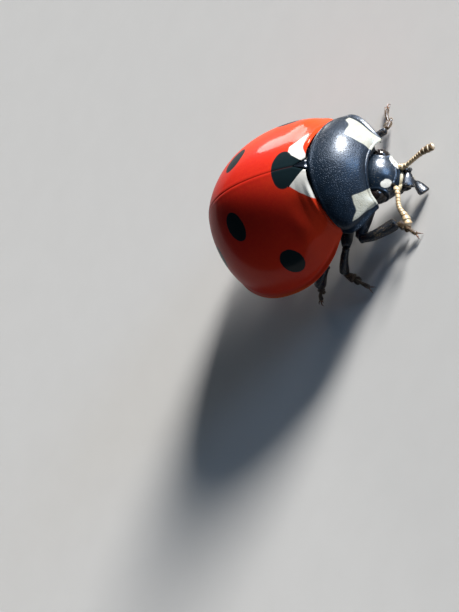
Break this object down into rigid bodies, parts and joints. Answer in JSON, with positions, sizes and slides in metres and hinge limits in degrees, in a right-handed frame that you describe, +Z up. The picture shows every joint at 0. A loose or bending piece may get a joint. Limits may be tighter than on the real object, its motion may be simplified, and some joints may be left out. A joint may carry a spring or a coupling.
{
  "type": "seven-spot ladybird",
  "caption": "Life-size seven-spot ladybird, walking, with red spotted wing cases, black pronotum with cream corners, small head, antennae and jointed legs.",
  "frame": {"origin": "on the floor, under the middle of the animal's outline", "axes": "+Z up, the head towards -Y, the animal's left towards +X"},
  "size_m": [0.0062, 0.0084, 0.0038],
  "materials": {
    "wing_case": "glossy orange-red cuticle with black spots and two white patches at the base, finely punctured",
    "black_shell": "glossy black cuticle",
    "pronotum": "glossy black cuticle, finely punctured, with cream patches at the front corners",
    "head": "glossy black cuticle, finely punctured, with two cream spots",
    "eye": "black, finely faceted",
    "mouthparts": "dark brown to black cuticle",
    "antenna": "orange-brown cuticle with a darker club",
    "underside": "black cuticle with fine hairs and two cream side plates",
    "leg": "black cuticle with fine pale hairs and brown claws"
  },
  "bodies": {
    "root": {"elytron_left": "wing_case", "elytron_right": "wing_case", "scutellum": "black_shell", "pronotum": "pronotum", "prothorax": "underside", "thorax": "underside", "abdomen": "underside", "head": "head", "eye_left": "eye", "eye_right": "eye", "mouthparts": "mouthparts", "palp_left": "mouthparts", "palp_right": "mouthparts", "antenna_left": "antenna", "antenna_right": "antenna", "leg_fore_left_femur": "leg", "leg_fore_left_tibia": "leg", "leg_fore_left_tarsus": "leg", "leg_mid_left_femur": "leg", "leg_mid_left_tibia": "leg", "leg_mid_left_tarsus": "leg", "leg_hind_left_femur": "leg", "leg_hind_left_tibia": "leg", "leg_hind_left_tarsus": "leg", "leg_fore_right_femur": "leg", "leg_fore_right_tibia": "leg", "leg_fore_right_tarsus": "leg", "leg_mid_right_femur": "leg", "leg_mid_right_tibia": "leg", "leg_mid_right_tarsus": "leg", "leg_hind_right_femur": "leg", "leg_hind_right_tibia": "leg", "leg_hind_right_tarsus": "leg"}
  },
  "joints": []
}
